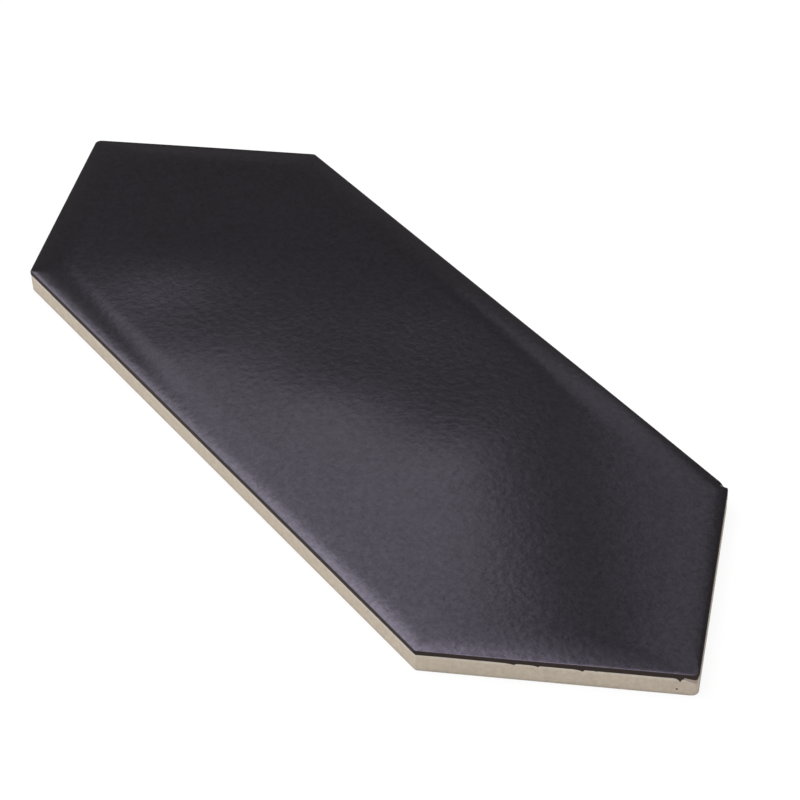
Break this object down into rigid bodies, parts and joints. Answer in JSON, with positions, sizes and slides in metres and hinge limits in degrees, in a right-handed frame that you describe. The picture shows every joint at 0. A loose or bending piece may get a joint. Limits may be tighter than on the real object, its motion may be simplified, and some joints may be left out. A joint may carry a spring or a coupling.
{
  "type": "picket tile",
  "caption": "Long flat six-sided wall tile with a point at both ends, a softly pillowed glazed face and a ribbed bare clay back.",
  "frame": {"origin": "under the middle of the tile, in the plane of the back ribs that the tile rests on", "axes": "+X along the length towards one point, +Y across the width, +Z out of the glazed face"},
  "size_m": [0.2916, 0.1, 0.0085],
  "materials": {
    "black_glaze": "satin"
  },
  "bodies": {
    "root": {"picket_tile": "black_glaze"}
  },
  "joints": []
}
